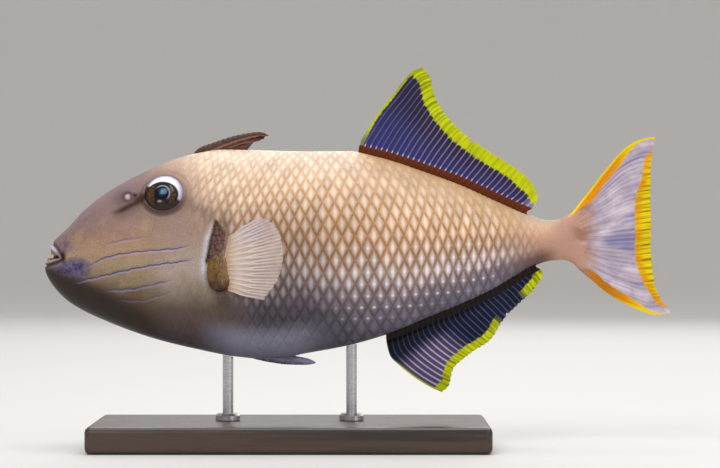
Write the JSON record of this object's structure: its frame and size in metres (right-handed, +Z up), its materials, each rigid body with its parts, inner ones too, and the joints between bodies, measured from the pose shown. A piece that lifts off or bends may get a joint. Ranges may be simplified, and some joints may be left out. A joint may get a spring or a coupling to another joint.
{
  "type": "crosshatch triggerfish model",
  "caption": "Life-size still model of a male crosshatch triggerfish swimming, held by two short rods on a flat display base.",
  "frame": {"origin": "centre of the stand's underside, where it rests on the floor", "axes": "+Z up; +X from the snout to the tail, so the head points to -X; the fish's left side faces -Y"},
  "size_m": [0.2796, 0.084, 0.1695],
  "materials": {
    "skin": "satin, tan with a diamond lattice of scales",
    "teeth": "gloss, ivory",
    "eyes": "high gloss, blue-black pupil in a golden brown iris with a white crescent",
    "pale_fins": "satin, pale pinkish white rays",
    "spiny_fin": "satin, dark red-brown",
    "blue_fins": "satin, dark blue with a lime-yellow margin",
    "tail_fin": "satin, lavender with yellow and orange margins",
    "stand_wood": "dark stained, satin varnish",
    "stand_steel": "satin"
  },
  "bodies": {
    "root": {"head": "skin", "trunk": "skin", "tail_stalk": "skin", "teeth_upper": "teeth", "teeth_lower": "teeth", "eye_left": "eyes", "eye_right": "eyes", "pectoral_fin_left": "pale_fins", "pectoral_fin_right": "pale_fins", "dorsal_fin_front": "spiny_fin", "dorsal_fin_rear": "blue_fins", "anal_fin": "blue_fins", "tail_fin": "tail_fin", "pelvic_spine": "pale_fins", "stand_base": "stand_wood", "stand_rod_front": "stand_steel", "stand_rod_rear": "stand_steel"}
  },
  "joints": []
}
